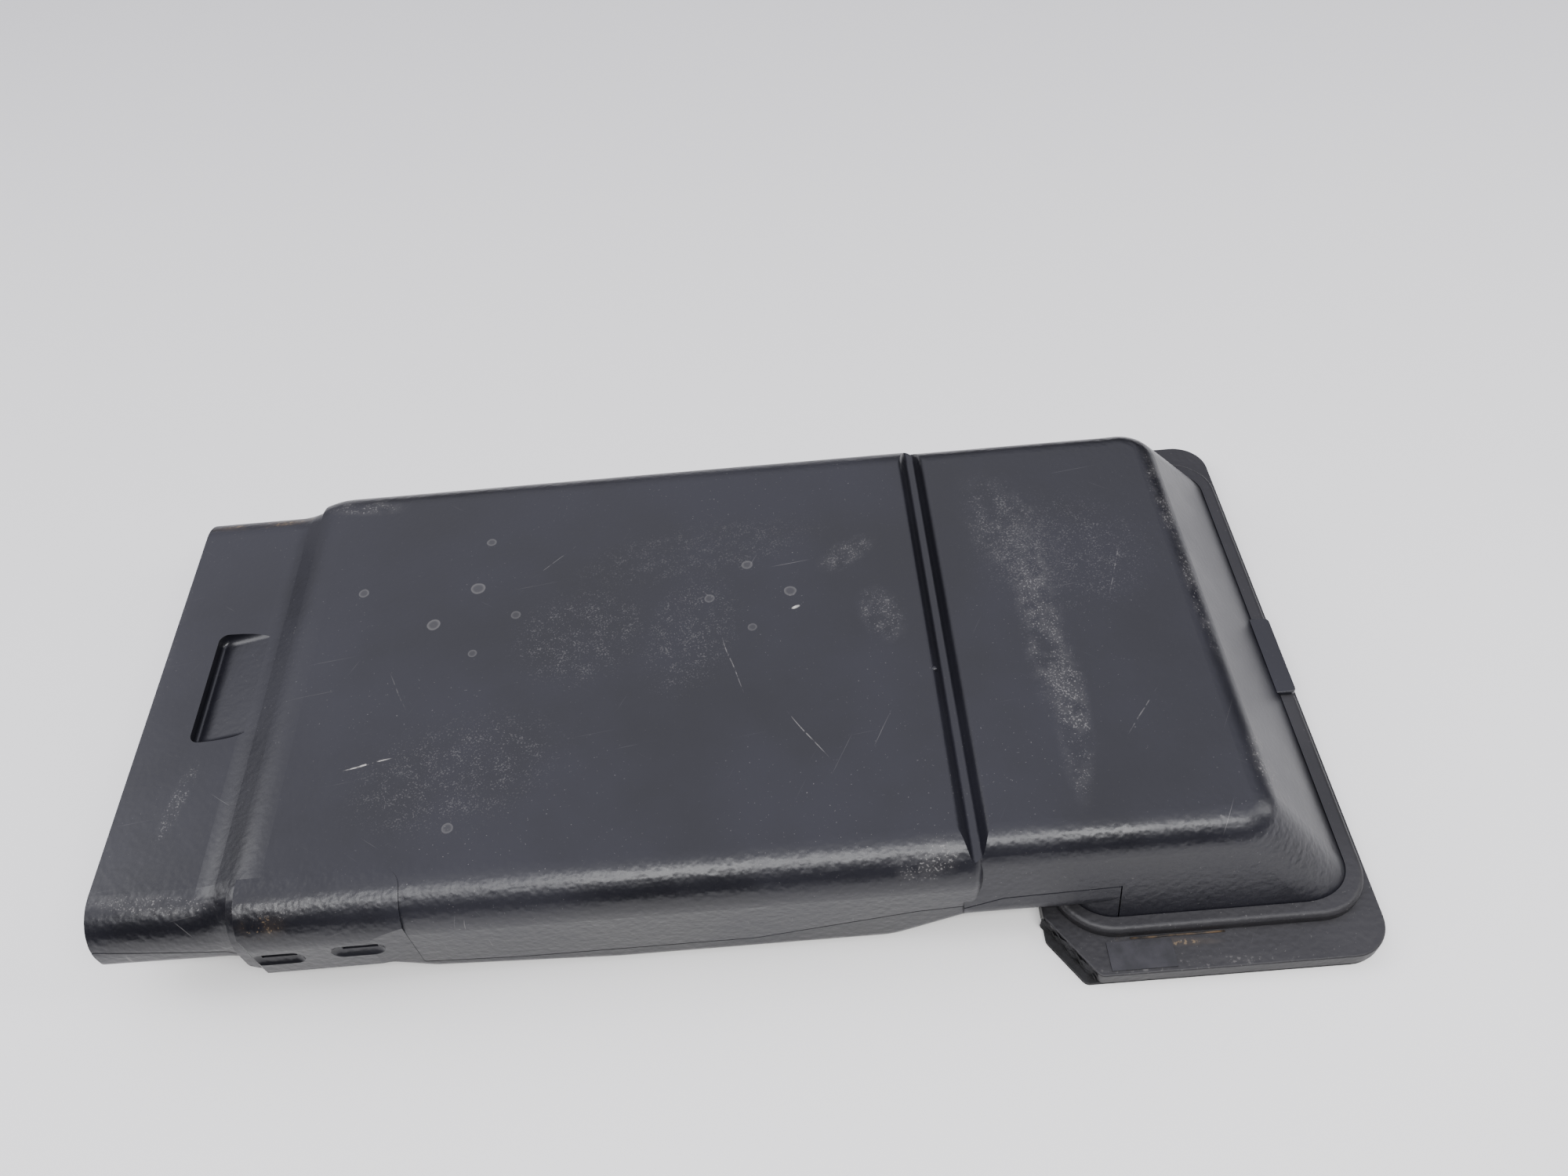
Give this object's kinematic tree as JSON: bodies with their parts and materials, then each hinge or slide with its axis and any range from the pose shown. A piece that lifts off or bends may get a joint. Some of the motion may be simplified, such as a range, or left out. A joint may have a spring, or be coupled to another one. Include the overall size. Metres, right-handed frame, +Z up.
{
  "type": "battery box",
  "caption": "Low black moulded battery box with a stepped nose, strap groove, raked end bay on a mounting flange, and cell modules and switchgear inside.",
  "frame": {"origin": "middle of the bounding box's footprint, at the seating plane of the flange gasket", "axes": "+X from the nose to the flanged end bay, +Y across the box away from the latched side, +Z up out of the mounting surface"},
  "size_m": [0.868, 0.488, 0.0986],
  "materials": {
    "shell": "semi-gloss moulded black with orange-peel texture",
    "flange": "dull moulded black",
    "foam": "closed-cell foam sheet",
    "seal_rubber": "soft black rubber",
    "tape": "smooth black tape",
    "plate": "mill finish",
    "zinc_steel": "zinc plated",
    "vent_plastic": "fine-textured moulding",
    "cell_film": "insulating film wrap",
    "busbar": "bare copper strip",
    "circuit_board": "solder mask over glass laminate",
    "fuse_body": "glazed fuse barrel",
    "resistor_case": "gold anodised"
  },
  "bodies": {
    "base": {"lower_shell": "shell", "seam_gasket": "seal_rubber", "mounting_flange": "flange", "flange_gasket": "foam", "edge_tape": "tape", "end_plate": "plate", "plate_screws": "zinc_steel", "power_grommet_1": "seal_rubber", "power_grommet_2": "seal_rubber", "signal_grommet": "seal_rubber", "breather_vent": "vent_plastic", "cell_module_1": "cell_film", "cell_module_2": "cell_film", "cell_module_3": "cell_film", "cell_module_4": "cell_film", "cell_module_5": "cell_film", "terminal_block_1": "vent_plastic", "terminal_block_2": "vent_plastic", "terminal_block_3": "vent_plastic", "terminal_block_4": "vent_plastic", "terminal_block_5": "vent_plastic", "terminal_studs": "zinc_steel", "terminal_nuts": "zinc_steel", "module_pads": "foam", "support_rails": "vent_plastic", "stack_angles": "plate", "sense_board_1": "circuit_board", "sense_board_2": "circuit_board", "link_bar_1": "busbar", "link_bar_2": "busbar", "link_bar_3": "busbar", "link_bar_4": "busbar", "bus_positive": "busbar", "bus_negative": "busbar", "bus_fuse": "busbar", "contactor": "vent_plastic", "fuse_base": "vent_plastic", "fuse_link": "fuse_body", "switch_studs": "zinc_steel", "switch_nuts": "zinc_steel", "shunt_base": "vent_plastic", "current_shunt": "busbar", "precharge_resistor": "resistor_case", "switch_deck": "plate", "deck_spacers": "zinc_steel", "deck_screws": "zinc_steel", "board_standoffs": "zinc_steel", "management_board": "circuit_board", "board_heatsink": "plate", "board_connectors": "vent_plastic"},
    "cover": {"upper_shell": "shell", "cover_pads": "foam"},
    "side_latch_1": {"side_latch_1": "shell"},
    "side_latch_2": {"side_latch_2": "shell"},
    "end_latch": {"end_latch": "shell"}
  },
  "joints": [
    {"name": "cover_lift", "type": "slide", "parent": "base", "child": "cover", "axis": [0, 0, 1], "range_m": [0, 0.2]},
    {"name": "end_latch_flex", "type": "hinge", "parent": "cover", "child": "end_latch", "pos_m": [0.41432, -0.004, 0.027], "axis": [0, -1, 0], "range_deg": [0, 35], "stiffness_Nm_per_rad": 0.5},
    {"name": "side_latch_1_flex", "type": "hinge", "parent": "cover", "child": "side_latch_1", "pos_m": [-0.31, -0.1949, 0.063], "axis": [1, 0, 0], "range_deg": [0, 5], "stiffness_Nm_per_rad": 0.5},
    {"name": "side_latch_2_flex", "type": "hinge", "parent": "cover", "child": "side_latch_2", "pos_m": [-0.254, -0.1949, 0.0665], "axis": [1, 0, 0], "range_deg": [0, 5], "stiffness_Nm_per_rad": 0.5}
  ]
}
